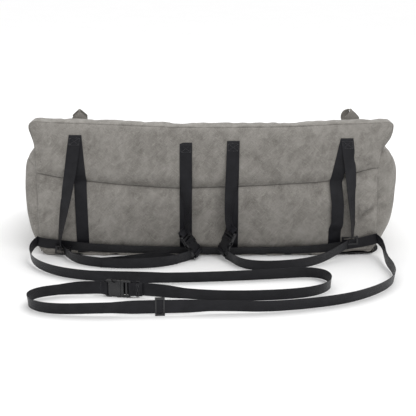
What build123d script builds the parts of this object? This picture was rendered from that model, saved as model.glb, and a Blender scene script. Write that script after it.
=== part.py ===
from build123d import *
import math
import os

os.makedirs("parts", exist_ok=True)

# ---- Driving dimensions, in millimetres -------------------------------------------------
# A padded travel bed for the rear seat of a car, seen with its harness side at -Y.
# +X is to the right seen from behind, +Z is up, and the bed's floor is at z = 0.
BED_WIDTH = 1160.0          # over the side bolsters
REAR_Y = -283.5             # rearmost webbing stitched on the back panel
FRONT_Y = -REAR_Y           # face of the front bolster
BACK_HEIGHT = 430.0
BACK_WIDTH = 1096.0         # top of the back panel, which overhangs its side seams
BACK_SEAM_WIDTH = 1080.0    # back panel at its side seams
BACK_FACE_Y = -280.0        # rear face of the back panel
BACK_THICK = 68.0
QUILT_Z = 238.0             # height of the seam that divides the back in two pads
QUILT_WEB = 5.0             # cloth left between the two foams at that seam
SIDE_THICK = 133.0
SIDE_HEIGHT_REAR = 335.0
SIDE_HEIGHT_FRONT = 262.0
WING_THICK = 38.0           # part of a side bolster that wraps round the back panel's edge
FRONT_THICK = 92.0
FRONT_HEIGHT = 205.0
SHEET_THICK = 4.0           # non-slip underside
CLOTH = 2.5                 # faux-leather cover with its backing
GAP = 0.3                   # clearance between soft pieces that are not joined
BASE_TOP = 62.0
CUSHION_THICK = 70.0
CUSHION_GAP = 4.0

WEB = 38.0                  # webbing width
WEB_T = 1.5                 # webbing thickness
RAIL = 5.0                  # side rail of a buckle or adjuster, beyond the webbing's edge

# Heights and places of the harness on the back panel: (name, x of top, z of top)
STRAPS = {
    "outer_left": (-410.0, 384.0),
    "inner_left": (-75.0, 362.0),
    "inner_right": (69.0, 366.0),
    "outer_right": (413.0, 374.0),
}
# x of the stitched vertical straps at the quilting seam and at the bottom
STITCHED = {
    "outer_left": (-400.0, -396.0),
    "inner_left": (-76.0, -77.0),
    "inner_right": (67.0, 66.0),
    "outer_right": (385.0, 385.0),
}
# lower end (x, z) of each hanging front layer
HANGS_TO = {
    "outer_left": (-461.0, 6.0),
    "inner_left": (-67.0, 96.0),
    "inner_right": (66.0, 112.0),
    "outer_right": (434.5, 36.0),
}
STITCH_Y = BACK_FACE_Y - WEB_T             # outer face of a stitched vertical strap
BELT_Y = STITCH_Y - GAP                    # inner face of the horizontal strap
HANG_Y = BACK_FACE_Y - 9.0                 # inner face of a hanging layer
STRAP_BOTTOM = 6.0
FOLD = 4.0                                 # height of the folded strap top
BELT_MID_Z, BELT_END_Z = 29.0, 53.0        # centre line of the horizontal strap
FLOOR_EDGE_Z = WEB / 2                     # centre line of webbing that stands on its edge

# Routes of the free webbing, seen from above, with its hand-picked corner points
BELT_RIGHT = [
    (541, -286), (562, -340), (556, -430), (520, -530), (445, -630), (335, -722),
    (165, -770), (-60, -782), (-290, -796), (-415, -792), (-478, -765), (-505, -715),
    (-487, -668), (-425, -645), (-345, -636), (-292.4, -640),
]
BELT_LEFT = [
    (-541, -286), (-558, -335), (-533, -405), (-482, -472), (-400, -518), (-280, -536),
    (-110, -539), (60, -525), (200, -505), (290, -490), (336, -522), (343, -588),
    (308, -640), (235, -668), (130, -687), (10, -691), (-80, -677), (-150, -659.7), (-245, -642.1),
]
LOOP_LEFT = [
    (-455, -297), (-438, -335), (-392, -378), (-305, -407), (-205, -413), (-125, -388),
    (-75, -346),
]
TAIL_LEFT = [(-318, -394), (-268, -384), (-205, -358), (-155, -350), (-118, -364)]
LOOP_RIGHT = [
    (61, -349), (77, -380), (110, -405), (165, -419), (245, -413), (325, -385),
    (385, -340), (420, -297),
]

# Side-release buckle for 38 mm webbing, along its own +X from the socket's bar
SOCKET_LENGTH = 43.0
BUCKLE_WIDTH = WEB + 2 * RAIL + 2.0
RAISED_EDGE_Z = BUCKLE_WIDTH / 2           # webbing on its edge where a buckle's rail lies beneath it
BUCKLE_THICK = 12.0
WALL = 2.4
BAR = 4.0
PLUG_END = 72.0
WINDOW_X, WINDOW_R = 25.0, 7.5             # round cut-outs that bare the prongs' press pads
GLIDE_LENGTH = 26.0
GLIDE_THICK = 6.5
GLIDE_SLACK = 1.0

LOOP_X = (-405.0, 436.0)    # the two fabric carry loops
LOOP_WIDTH = 42.0
LOOP_TOP = 458.0
LOOP_FOOT = 398.0


# ---- Helpers ----------------------------------------------------------------------------
def block(x, y, z):
    """Box between two values on each axis."""
    size = [b - a for a, b in (x, y, z)]
    middle = [(a + b) / 2 for a, b in (x, y, z)]
    return Pos(*middle) * Box(*size)


def slab(width, height, corner, y, z_mid=0.0):
    """Upright rounded slab, between two values of y."""
    face = Plane(origin=(0, y[1], z_mid), x_dir=(1, 0, 0), z_dir=(0, -1, 0))
    outline = face * RectangleRounded(width, height, corner)
    return extrude(outline, amount=y[1] - y[0])


def mat(width, depth, corner, z, y_mid=0.0):
    """Flat rounded slab, between two values of z."""
    return Pos(0, y_mid, z[0]) * extrude(RectangleRounded(width, depth, corner), amount=z[1] - z[0])


def band(points, z_mid, width=WEB, thick=WEB_T):
    """Webbing on its edge along a route of straight runs and the largest arcs between them."""
    vectors = [Vector(x, y, 0) for x, y in points]
    runs = [b - a for a, b in zip(vectors, vectors[1:])]
    radii = []
    for before, after in zip(runs, runs[1:]):
        half_turn = math.radians(before.get_angle(after)) / 2
        radii.append(0.45 * min(before.length, after.length) / math.tan(half_turn))
    path = Pos(0, 0, z_mid) * FilletPolyline(*vectors, radius=radii)
    section = Plane(origin=path @ 0, x_dir=(0, 0, 1), z_dir=path % 0) * Rectangle(width, thick)
    solid = sweep(section, path=path)
    print(f"  radii {min(radii):.0f}..{max(radii):.0f}, length {path.length:.0f}, "
          f"volume ratio {solid.volume / (path.length * width * thick):.4f}")
    return solid


def plank(top, bottom, y, width=WEB):
    """Flat webbing in the XZ plane between two (x, z) points, one thickness deep from y."""
    a, b = Vector(top[0], 0, top[1]), Vector(bottom[0], 0, bottom[1])
    side = Vector(b.Z - a.Z, 0, a.X - b.X).normalized() * (width / 2)
    corners = [a + side, b + side, b - side, a - side]
    face = make_face(Polyline(*[Vector(c.X, y, c.Z) for c in corners], close=True))
    return extrude(face, amount=WEB_T, dir=(0, -1, 0))


def put(node, shape):
    """Write one node."""
    shape.label = node
    export_step(shape, f"parts/{node}.step")
    print(f"{node}: {len(shape.solids())} solid(s), {shape.volume / 1000:.1f} cm3")


# ---- Soft body --------------------------------------------------------------------------
def build_underside():
    put("non_slip_base", mat(BED_WIDTH - 36, FRONT_Y - BACK_FACE_Y - 24, 60, (0, SHEET_THICK)))


def build_back():
    """Rear backrest: one cover sewn through at the quilting seam, round two foams."""
    y = (BACK_FACE_Y, BACK_FACE_Y + BACK_THICK)
    low = SHEET_THICK + GAP
    outer = slab(BACK_SEAM_WIDTH, BACK_HEIGHT - low, 24, y, (BACK_HEIGHT + low) / 2)
    head_low = SIDE_HEIGHT_REAR + 14
    head = slab(BACK_WIDTH, BACK_HEIGHT - head_low, 24, y, (BACK_HEIGHT + head_low) / 2)
    inner_y = (y[0] + CLOTH, y[1] - CLOTH)
    width = BACK_SEAM_WIDTH - 2 * CLOTH
    spans = {
        "back_foam_lower": (low + CLOTH, QUILT_Z - QUILT_WEB / 2),
        "back_foam_upper": (QUILT_Z + QUILT_WEB / 2, BACK_HEIGHT - CLOTH),
    }
    foams = {node: slab(width, z1 - z0, 20, inner_y, (z0 + z1) / 2) for node, (z0, z1) in spans.items()}
    put("back_cover", outer + head - list(foams.values()))
    for node, foam in foams.items():
        put(node, foam)


def side_solid(side, inset):
    """Side bolster: L in plan, its short arm covering the back panel's edge; top slopes down."""
    back_inner = BACK_FACE_Y + BACK_THICK + GAP
    edge = BACK_SEAM_WIDTH / 2 + GAP
    x_in, x_out = BED_WIDTH / 2 - SIDE_THICK, BED_WIDTH / 2
    plan = Polyline(
        (x_in, back_inner), (edge, back_inner), (edge, BACK_FACE_Y + 12), (x_out - 8, BACK_FACE_Y + 12),
        (x_out, BACK_FACE_Y + 55), (x_out, FRONT_Y - 45), (x_out - 40, FRONT_Y), (x_in, FRONT_Y), close=True,
    )
    face = make_face(plan)
    if inset:
        face = offset(face, -inset)
    low = SHEET_THICK + GAP + inset
    solid = Pos(0, 0, low) * extrude(face, amount=SIDE_HEIGHT_REAR - inset - low)
    slope = make_face(Polyline(
        (0, BACK_FACE_Y + 90, SIDE_HEIGHT_REAR - inset), (0, FRONT_Y + 20, SIDE_HEIGHT_FRONT - inset),
        (0, FRONT_Y + 20, SIDE_HEIGHT_REAR + 20), (0, BACK_FACE_Y + 90, SIDE_HEIGHT_REAR + 20), close=True,
    ))
    solid -= extrude(slope, amount=BED_WIDTH, dir=(1, 0, 0))
    return solid if side > 0 else mirror(solid, about=Plane.YZ)


def build_sides():
    for name, side in (("left", -1), ("right", 1)):
        fill = side_solid(side, CLOTH)
        put(f"side_bolster_cover_{name}", side_solid(side, 0) - fill)
        put(f"side_bolster_fill_{name}", fill)


def build_front():
    half = BED_WIDTH / 2 - SIDE_THICK - GAP
    y = (FRONT_Y - FRONT_THICK, FRONT_Y)
    z = (SHEET_THICK + GAP, FRONT_HEIGHT)
    outer = block((-half, half), y, z)
    outer = fillet(outer.edges().filter_by(Axis.X).group_by(Axis.Z)[-1], 34)
    fill = block((-half + CLOTH, half - CLOTH), (y[0] + CLOTH, y[1] - CLOTH), (z[0] + CLOTH, z[1] - CLOTH))
    fill = fillet(fill.edges().filter_by(Axis.X).group_by(Axis.Z)[-1], 32)
    put("front_bolster_cover", outer - fill)
    put("front_bolster_fill", fill)


def build_base():
    half = BED_WIDTH / 2 - SIDE_THICK - GAP
    y = (BACK_FACE_Y + BACK_THICK + GAP, FRONT_Y - FRONT_THICK - GAP)
    z = (SHEET_THICK + GAP, BASE_TOP)
    foam = block((-half + CLOTH, half - CLOTH), (y[0] + CLOTH, y[1] - CLOTH), (z[0] + CLOTH, z[1] - CLOTH))
    put("base_cover", block((-half, half), y, z) - foam)
    put("base_foam", foam)


def build_cushion():
    """Loose seat cushion: it lifts out for washing, and closes with a zip along its rear side."""
    width = BED_WIDTH - 2 * SIDE_THICK - 2 * CUSHION_GAP
    y = (BACK_FACE_Y + BACK_THICK + CUSHION_GAP + 4, FRONT_Y - FRONT_THICK - CUSHION_GAP)
    depth, y_mid = y[1] - y[0], (y[0] + y[1]) / 2
    z = (BASE_TOP + GAP, BASE_TOP + CUSHION_THICK)
    foam = mat(width - 2 * CLOTH, depth - 2 * CLOTH, 32, (z[0] + CLOTH, z[1] - CLOTH), y_mid)
    put("seat_cushion_cover", mat(width, depth, 35, z, y_mid) - foam)
    put("seat_cushion_foam", foam)
    tape_z = (z[0] + z[1]) / 2
    tape = (-320.0, 320.0)
    put("cushion_zip_tape", block(tape, (y[0] - 1.2, y[0]), (tape_z - 12, tape_z + 12)))
    slider = block((tape[0] + 4, tape[0] + 15), (y[0] - 4.2, y[0] - 1.4), (tape_z - 4.5, tape_z + 4.5))
    slider = fillet(slider.edges().filter_by(Axis.Y), 3)
    pull = block((tape[0] + 8, tape[0] + 11), (y[0] - 5.4, y[0] - 4.2), (tape_z - 26, tape_z + 1))
    put("cushion_zip_slider", slider + pull)


def build_carry_loops():
    """Folded strips of the cover cloth that stand up behind the top edge."""
    y0 = BACK_FACE_Y + BACK_THICK + GAP
    y1 = y0 + 24.0
    for name, x in zip(("left", "right"), LOOP_X):
        wide = slab(y1 - y0, LOOP_TOP - LOOP_FOOT, 9, (0, LOOP_WIDTH), 0)
        hole = slab(y1 - y0 - 2 * CLOTH, LOOP_TOP - LOOP_FOOT - 2 * CLOTH, 6.5, (-1, LOOP_WIDTH + 1), 0)
        loop = Rot(0, 0, 90) * (wide - hole)
        put(f"carry_loop_{name}",
            Pos(x + LOOP_WIDTH / 2, (y0 + y1) / 2, (LOOP_TOP + LOOP_FOOT) / 2) * loop)


# ---- Webbing on the back ----------------------------------------------------------------
def build_back_webbing():
    for name, (x, z) in STRAPS.items():
        seam_x, low_x = STITCHED[name]
        rear = plank((x, z - 2 * FOLD), (seam_x, QUILT_Z), BACK_FACE_Y)
        lower = plank((seam_x, QUILT_Z), (low_x, STRAP_BOTTOM), BACK_FACE_Y)
        put(f"stitched_strap_{name}", rear + lower)
        fold = block((x - WEB / 2, x + WEB / 2), (HANG_Y - WEB_T, BACK_FACE_Y), (z - FOLD, z))
        fold = fillet(fold.edges().filter_by(Axis.X).group_by(Axis.Z)[-1], 1.8)
        put(f"hanging_strap_{name}", fold + plank((x, z - FOLD), HANGS_TO[name], HANG_Y))
    half = BACK_SEAM_WIDTH / 2 + 2
    edges = []
    for dz in (-WEB / 2, WEB / 2):
        edges.append(ThreePointArc(
            (-half, BELT_Y, BELT_END_Z + dz), (0, BELT_Y, BELT_MID_Z + dz), (half, BELT_Y, BELT_END_Z + dz)))
    ends = [Line(edges[0] @ t, edges[1] @ t) for t in (0, 1)]
    belt = extrude(make_face([*edges, *ends]), amount=WEB_T, dir=(0, -1, 0))
    put("horizontal_strap", belt)


def build_free_webbing():
    put("belt_webbing_right", band(BELT_RIGHT, RAISED_EDGE_Z))
    put("belt_webbing_left", band(BELT_LEFT, RAISED_EDGE_Z))
    put("floor_loop_left", band(LOOP_LEFT, FLOOR_EDGE_Z))
    put("floor_loop_tail_left", band(TAIL_LEFT, FLOOR_EDGE_Z))
    put("floor_loop_right", band(LOOP_RIGHT, FLOOR_EDGE_Z))


# ---- Moulded hardware -------------------------------------------------------------------
def socket_solid():
    """Female half: web bar at x = 0, hollow with side slots, open at its mouth."""
    half, deep = BUCKLE_WIDTH / 2, BUCKLE_THICK / 2
    body = block((0, SOCKET_LENGTH), (-half, half), (-deep, deep))
    body = fillet(body.edges().filter_by(Axis.X), 3)
    body = fillet(body.edges().filter_by(Axis.Z).group_by(Axis.X)[0], 5)
    body -= block((BAR + 7, SOCKET_LENGTH), (-half + 4, half - 4), (-deep + WALL, deep - WALL))
    body -= block((BAR + 9.5, SOCKET_LENGTH), (-half - 1, half + 1), (-2.6, 2.6))
    body -= block((BAR, BAR + 5), (-WEB / 2 - 1, WEB / 2 + 1), (-deep, deep))
    for y in (-half, half):
        body -= Pos(WINDOW_X, y, 0) * Cylinder(WINDOW_R, BUCKLE_THICK + 2)
    return body


def plug_solid():
    """Male half: centre tongue, stop shoulder, and a frame with the web bar."""
    half, deep = BUCKLE_WIDTH / 2 - 1, BUCKLE_THICK / 2 - 1
    start = SOCKET_LENGTH + 0.6
    frame = block((start, PLUG_END), (-half, half), (-deep, deep))
    frame = fillet(frame.edges().filter_by(Axis.Z).group_by(Axis.X)[-1], 6)
    frame = fillet(frame.edges().filter_by(Axis.X), 1.5)
    for x0, x1 in ((start + 8, start + 13.5), (PLUG_END - 9.5, PLUG_END - BAR)):
        frame -= block((x0, x1), (-WEB / 2 - 1, WEB / 2 + 1), (-deep, deep))
    return frame + block((16, start), (-5, 5), (-2.4, 2.4))


def prong_solid(side):
    """One sprung arm with its press pad, hinged at its root beside the tongue."""
    half = BUCKLE_WIDTH / 2
    root = SOCKET_LENGTH - 0.5
    arm = Polyline(
        (root, 10), (root, 15.5), (34, 17), (30, half - 0.8), (18, half - 0.8), (14, half - 5), (17, 15.5),
        (32, 12.5), (root - 6, 10), close=True,
    )
    solid = Pos(0, 0, -2.0) * extrude(make_face(arm), amount=4.0)
    return solid if side > 0 else mirror(solid, about=Plane.XZ)


def glide_solid():
    """Adjuster: two side rails, two bars in front of the webbing and one behind it."""
    half, deep, slot = BUCKLE_WIDTH / 2, GLIDE_THICK / 2, WEB_T / 2 + GLIDE_SLACK
    inside = WEB / 2 + 1
    parts = [block((-GLIDE_LENGTH / 2, GLIDE_LENGTH / 2), y, (-deep, deep))
             for y in ((-half, -inside), (inside, half))]
    for x in (-GLIDE_LENGTH / 2, GLIDE_LENGTH / 2 - BAR):
        parts.append(block((x, x + BAR), (-half, half), (slot, deep)))
    parts.append(block((-2.5, 2.5), (-half, half), (-deep, -slot)))
    return parts[0] + parts[1:]


def keeper_solid():
    """Fabric keeper that holds the doubled webbing beside the belt buckle."""
    outer = Box(9, WEB + 6, 7.5)
    return outer - Box(10, WEB + 2, 4.4)


def on_edge(x, y, z, yaw):
    """Place hardware on webbing that stands on its edge: local Y is up, local Z faces -Y."""
    return Pos(x, y, z) * Rot(0, 0, yaw) * Rot(90, 0, 0)


def on_panel(x, y, z, tilt, roll):
    """Place hardware near the back: local +X turns by tilt about Y (90 is down), then rolls."""
    return Pos(x, y, z) * Rot(0, tilt, 0) * Rot(roll, 0, 0) * Rot(90, 0, 0)


BUCKLES = {
    "belt": on_edge(-292, -640, BUCKLE_WIDTH / 2, -10.5),
    "left": on_panel(-42.0, -318.0, 22.0, -123.3, 57.0),
    "right": on_panel(37.0, -318.0, 26.0, -67.0, -57.0),
}
GLIDES = {
    "belt": on_edge(-135, -786.6, BUCKLE_WIDTH / 2, 3.48),
    "left": on_panel(-459.1, HANG_Y - WEB_T / 2, 20.0, 97.68, 0),
    "right": on_panel(433.5, HANG_Y - WEB_T / 2, 52.0, 86.36, 0),
}


def build_hardware():
    for name, place in BUCKLES.items():
        put(f"buckle_socket_{name}", place * socket_solid())
        put(f"buckle_plug_{name}", place * plug_solid())
        put(f"buckle_prong_a_{name}", place * prong_solid(1))
        put(f"buckle_prong_b_{name}", place * prong_solid(-1))
    for name, place in GLIDES.items():
        put(f"adjuster_{name}", place * glide_solid())
    put("strap_keeper", on_edge(-203, -649.9, RAISED_EDGE_Z, -10.5) * keeper_solid())


if __name__ == "__main__":
    build_underside()
    build_back()
    build_sides()
    build_front()
    build_base()
    build_cushion()
    build_carry_loops()
    build_back_webbing()
    build_free_webbing()
    build_hardware()
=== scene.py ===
import math

import bpy
import numpy as np
from mathutils import Matrix, Vector, noise
from mathutils.bvhtree import BVHTree
from mathutils.kdtree import KDTree


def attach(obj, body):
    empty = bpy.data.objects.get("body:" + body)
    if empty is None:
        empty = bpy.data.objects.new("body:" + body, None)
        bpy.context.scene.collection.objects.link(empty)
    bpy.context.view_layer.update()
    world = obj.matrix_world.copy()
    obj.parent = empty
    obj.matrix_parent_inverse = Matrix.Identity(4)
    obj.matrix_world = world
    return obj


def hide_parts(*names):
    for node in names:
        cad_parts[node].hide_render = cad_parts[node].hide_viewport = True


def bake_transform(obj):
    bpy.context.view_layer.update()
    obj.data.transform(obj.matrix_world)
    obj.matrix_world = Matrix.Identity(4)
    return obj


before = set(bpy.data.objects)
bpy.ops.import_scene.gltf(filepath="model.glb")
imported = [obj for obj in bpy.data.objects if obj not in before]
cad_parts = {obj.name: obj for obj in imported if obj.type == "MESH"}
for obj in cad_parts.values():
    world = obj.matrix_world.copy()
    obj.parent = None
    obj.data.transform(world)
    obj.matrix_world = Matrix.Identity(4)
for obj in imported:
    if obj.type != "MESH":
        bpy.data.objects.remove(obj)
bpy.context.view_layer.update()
scene = bpy.context.scene

MM = 0.001

# ---- Sizes in millimetres, as in the CAD model ------------------------------------------
WEB = 38.0
WEB_T = 1.5
CLOTH_T = 2.4
BACK_LO, BACK_HI = (-540.0, -279.0, 4.3), (540.0, -212.0, 430.0)
QUILT = 238.0
SIDE_LO, SIDE_HI = (447.0, -268.0, 4.3), (580.0, 283.0, 335.0)
FRONT_LO, FRONT_HI = (-446.7, 191.5, 4.3), (446.7, 283.5, 205.0)
BASE_LO, BASE_HI = (-446.7, -211.7, 4.3), (446.7, 191.2, 62.0)
SEAT_LO, SEAT_HI = (-443.0, -203.5, 62.5), (443.0, 187.3, 132.0)
BUCKLE_PLACES = {
    "belt": ((-292, -640, 25), 0.0, 0.0, -10.5),
    "left": ((-42, -318, 22), -123.3, 57.0, 0.0),
    "right": ((37, -318, 26), -67.0, -57.0, 0.0),
}
GLIDE_PLACES = {
    "belt": ((-135, -786.6, 25), 0.0, 0.0, 3.48),
    "left": ((-459.1, -289.75, 20), 97.68, 0.0, 0.0),
    "right": ((433.5, -289.75, 52), 86.36, 0.0, 0.0),
}
KEEPER = (-203.0, -649.9)

# Outline of the back panel: (x, height) and (height, distance from the middle)
TOP_Z = ((-548, 427), (-420, 423), (-300, 419), (-150, 413), (0, 410), (200, 412), (400, 420), (548, 424))
SEAM_Z = ((-540, 266), (-454, 247), (-383, 238), (-217, 221), (-94, 215), (38, 218), (183, 224),
          (370, 237), (447, 259), (521, 280))
BOTTOM_Z = ((-545, 4.5), (340, 4.5), (390, 6), (440, 9), (490, 12), (545, 13))
LEFT_X = ((0, 540), (300, 540), (345, 542), (380, 548), (405, 553), (430, 549))
RIGHT_X = ((0, 519), (60, 521), (280, 518), (335, 527), (350, 534), (380, 550), (412, 556), (430, 553))
# Side bolsters: (y, height of the top) and (height, how far the outer face draws in)
SIDE_TOP = ((-268, 335), (-150, 333), (0, 312), (150, 283), (283, 262))
SIDE_DRAW_LEFT = ((0, 42), (30, 24), (57, 13), (150, 3), (250, 0), (335, 2))
SIDE_DRAW_RIGHT = ((0, 50), (30, 38), (57, 29), (110, 13), (180, 3), (262, 0), (335, 6))
# Strap along the foot of the panel: (x, height of its middle) and (x, tilt in degrees, lower edge tucked in)
FOOT_Z = ((-541, 50), (-515, 43), (-430, 34), (-300, 25), (-100, 20), (60, 18), (250, 20), (400, 32),
          (480, 48), (521, 60))
FOOT_TILT = ((-541, 20), (-380, 30), (-150, 38), (200, 38), (380, 30), (521, 15))
FOOT_Y = -289.0
ADJUSTER_CLEAR = 5.0
ADJUSTER_TRAVEL, ADJUSTER_BACK = 150.0, 284.5

# Corner points of the free webbing: x, y and height of its centre line
BELT_RIGHT = (
    (518, -286, 57), (531, -303, 50), (533, -338, 36), (531, -392, 23), (541, -470, 20), (527, -560, 19.5),
    (458, -650, 19),
    (350, -722, 18.5), (165, -774, 19.5), (40, -776, 24), (-60, -782, 25), (-212, -791.2, 25), (-310, -796, 24),
    (-415, -788, 18.5), (-478, -762, 19), (-502, -715, 20), (-484, -668, 20), (-425, -645, 21),
    (-345, -636, 25), (-292.4, -640, 25),
)
BELT_LEFT = (
    (-538, -285, 50), (-556, -318, 42), (-549, -372, 25), (-508, -440, 19.5), (-420, -504, 18.5),
    (-280, -538, 18.5), (-110, -542, 18.5), (60, -526, 18.5), (200, -506, 18.5), (290, -490, 19),
    (338, -520, 20), (346, -585, 20), (310, -642, 19.5), (235, -672, 18.5), (130, -687, 18.5),
    (10, -688, 19), (-80, -677, 22), (-150, -659.7, 25), (-245, -642.1, 25),
)
LOOP_LEFT = (
    (-458, -293, 24), (-440, -335, 21), (-392, -383, 17.5), (-305, -411, 17.3), (-205, -416, 17.3),
    (-125, -392, 18), (-78, -350, 19), (-47, -322, 17),
)
TAIL_LEFT = ((-332, -404, 17.3), (-268, -392, 17.3), (-205, -362, 17.5), (-152, -352, 17.5), (-104, -373, 17.3))
LOOP_RIGHT = (
    (41, -322, 20), (62, -352, 19), (78, -392, 18), (112, -425, 17.3), (165, -436, 17.3), (245, -424, 17.5),
    (318, -388, 19), (375, -342, 26), (428, -296, 44),
)
# Hanging layers: x, y, height and turn of the width about the webbing's own line, in degrees
HANGING = {
    "outer_left": ((-410, -289, 384, 0), (-419, -293, 330, 4), (-428, -294, 272, 12), (-441, -296, 205, 28),
                   (-454, -298, 138, 46), (-464, -299, 85, 62), (-470, -300, 45, 72), (-462, -298, 16, 78)),
    "inner_left": ((-75, -289, 362, 0), (-75.5, -293, 305, 2), (-75, -296, 240, 10), (-72, -301, 180, 42),
                   (-70, -307, 136, 66), (-71, -313, 104, 62), (-78, -317, 84, 57)),
    "inner_right": ((69, -289, 366, 0), (67, -294, 310, -3), (63.6, -297, 234, -12), (58, -303, 178, -38),
                    (54, -308, 142, -54), (56, -313, 112, -57), (64, -317, 92, -57)),
    "outer_right": ((413, -289, 374, 0), (421, -292, 320, -10), (427.5, -293, 272, -24), (433, -294, 205, -40),
                    (438, -296, 146, -55), (441, -297, 105, -64), (440, -298, 66, -70)),
}
PLUG_OF = {"inner_left": "buckle_plug_left", "inner_right": "buckle_plug_right"}
FOLD_TOP = {"outer_left": (-410, 384), "inner_left": (-75, 362), "inner_right": (69, 366), "outer_right": (413, 374)}
STITCHED_X = {"outer_left": (-400, -396), "inner_left": (-76, -77), "inner_right": (67, 66),
              "outer_right": (385, 385)}
LOOP_X = (-405.0, 436.0)


# ---- Numbers and meshes -----------------------------------------------------------------
def follow(table, at):
    """Smooth curve through a table of (position, value) pairs, with no overshoot between them."""
    xs, ys = np.array(table, float).T
    rises = np.diff(ys) / np.diff(xs)
    before, after = rises[:-1], rises[1:]
    same_way = before * after > 0
    inner = np.where(same_way, 2 * before * after / np.where(same_way, before + after, 1), 0)
    slopes = np.concatenate([rises[:1], inner, rises[-1:]])
    k = np.clip(np.searchsorted(xs, at) - 1, 0, len(xs) - 2)
    step = xs[k + 1] - xs[k]
    t = np.clip((at - xs[k]) / step, 0, 1)
    return (
        (2 * t**3 - 3 * t**2 + 1) * ys[k] + (t**3 - 2 * t**2 + t) * step * slopes[k]
        + (3 * t**2 - 2 * t**3) * ys[k + 1] + (t**3 - t**2) * step * slopes[k + 1]
    )


def bell(value, width):
    """Bump of height 1 that fades over width."""
    return np.exp(-((value / width) ** 2))


def waves(points, size, seed):
    """Smooth noise at some points in millimetres, one value each, with features of a size."""
    offset = Vector((seed * 7.13, seed * 3.71, seed * 5.37))
    return np.array([noise.noise(Vector(p) / size + offset) for p in points])


def spaced(low, high, step):
    return np.linspace(low, high, max(2, round((high - low) / step)) + 1)


def lattice(xs, ys, zs):
    """Closed box of quads through these coordinates: points, faces and each point's grid index."""
    nx, ny, nz = len(xs) - 1, len(ys) - 1, len(zs) - 1
    index = {}
    faces = []

    def add(quad, flip):
        corners = [index.setdefault(c, len(index)) for c in quad]
        faces.append(corners[::-1] if flip else corners)

    for k in (0, nz):
        for i in range(nx):
            for j in range(ny):
                add([(i, j, k), (i + 1, j, k), (i + 1, j + 1, k), (i, j + 1, k)], k == 0)
    for j in (0, ny):
        for i in range(nx):
            for k in range(nz):
                add([(i, j, k), (i + 1, j, k), (i + 1, j, k + 1), (i, j, k + 1)], j == ny)
    for i in (0, nx):
        for j in range(ny):
            for k in range(nz):
                add([(i, j, k), (i, j + 1, k), (i, j + 1, k + 1), (i, j, k + 1)], i == 0)
    grid = np.array(list(index))
    points = np.column_stack([np.asarray(c)[grid[:, axis]] for axis, c in enumerate((xs, ys, zs))])
    return points, faces, grid


def round_box(points, low, high, radius):
    """Round every edge of a box lattice."""
    core = np.clip(points, np.array(low) + radius, np.array(high) - radius)
    out = points - core
    length = np.linalg.norm(out, axis=1, keepdims=True)
    return core + out * np.where(length > radius, radius / np.maximum(length, 1e-9), 1.0)


def round_plan(points, axes, low, high, radii):
    """Round a lattice's corners in one of its planes: radii at the second axis' low and high side."""
    a, b = axes
    points = points.copy()
    for high_side, radius in enumerate(radii):
        inner_a = np.clip(points[:, a], low[a] + radius, high[a] - radius)
        if high_side:
            inner_b = np.minimum(points[:, b], high[b] - radius)
        else:
            inner_b = np.maximum(points[:, b], low[b] + radius)
        out_a, out_b = points[:, a] - inner_a, points[:, b] - inner_b
        length = np.hypot(out_a, out_b)
        scale = np.maximum(np.abs(out_a), np.abs(out_b)) / np.maximum(length, 1e-9)
        points[:, a] = inner_a + out_a * scale
        points[:, b] = inner_b + out_b * scale
    return points


def section_scale(u, v, power):
    """Factor that takes a point of a square section to a rounded one."""
    largest = np.maximum(np.abs(u), np.abs(v))
    return largest / np.maximum((np.abs(u) ** power + np.abs(v) ** power) ** (1 / power), 1e-9)


def make(name, points, faces, material, body="root", uvs=None):
    mesh = bpy.data.meshes.new(name)
    mesh.from_pydata([tuple(p) for p in points], [], [list(f) for f in faces])
    if uvs is not None:
        layer = mesh.uv_layers.new(name="UVMap")
        corners = np.empty(len(mesh.loops), int)
        mesh.loops.foreach_get("vertex_index", corners)
        layer.data.foreach_set("uv", np.asarray(uvs, float)[corners].ravel())
    mesh.shade_smooth()
    mesh.materials.append(material)
    obj = bpy.data.objects.new(name, mesh)
    scene.collection.objects.link(obj)
    if body:
        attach(obj, body)
    return obj


def read_points(obj):
    co = np.empty(len(obj.data.vertices) * 3)
    obj.data.vertices.foreach_get("co", co)
    return co.reshape(-1, 3)


def write_points(obj, points):
    obj.data.vertices.foreach_set("co", np.asarray(points, float).ravel())
    obj.data.update()


def read_normals(obj):
    normals = np.empty(len(obj.data.vertices) * 3)
    obj.data.vertices.foreach_get("normal", normals)
    return normals.reshape(-1, 3)


def subdivide(obj):
    """Apply one level of subdivision."""
    obj.modifiers.new("Smooth", "SUBSURF").levels = 1
    graph = bpy.context.evaluated_depsgraph_get()
    mesh = bpy.data.meshes.new_from_object(obj.evaluated_get(graph))
    obj.modifiers.clear()
    old = obj.data
    obj.data = mesh
    bpy.data.meshes.remove(old)


def merge(parts):
    """Join (points, faces) pairs into one."""
    points, faces = [], []
    for part_points, part_faces in parts:
        start = len(points)
        points.extend(part_points)
        faces.extend([i + start for i in f] for f in part_faces)
    return points, faces


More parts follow.
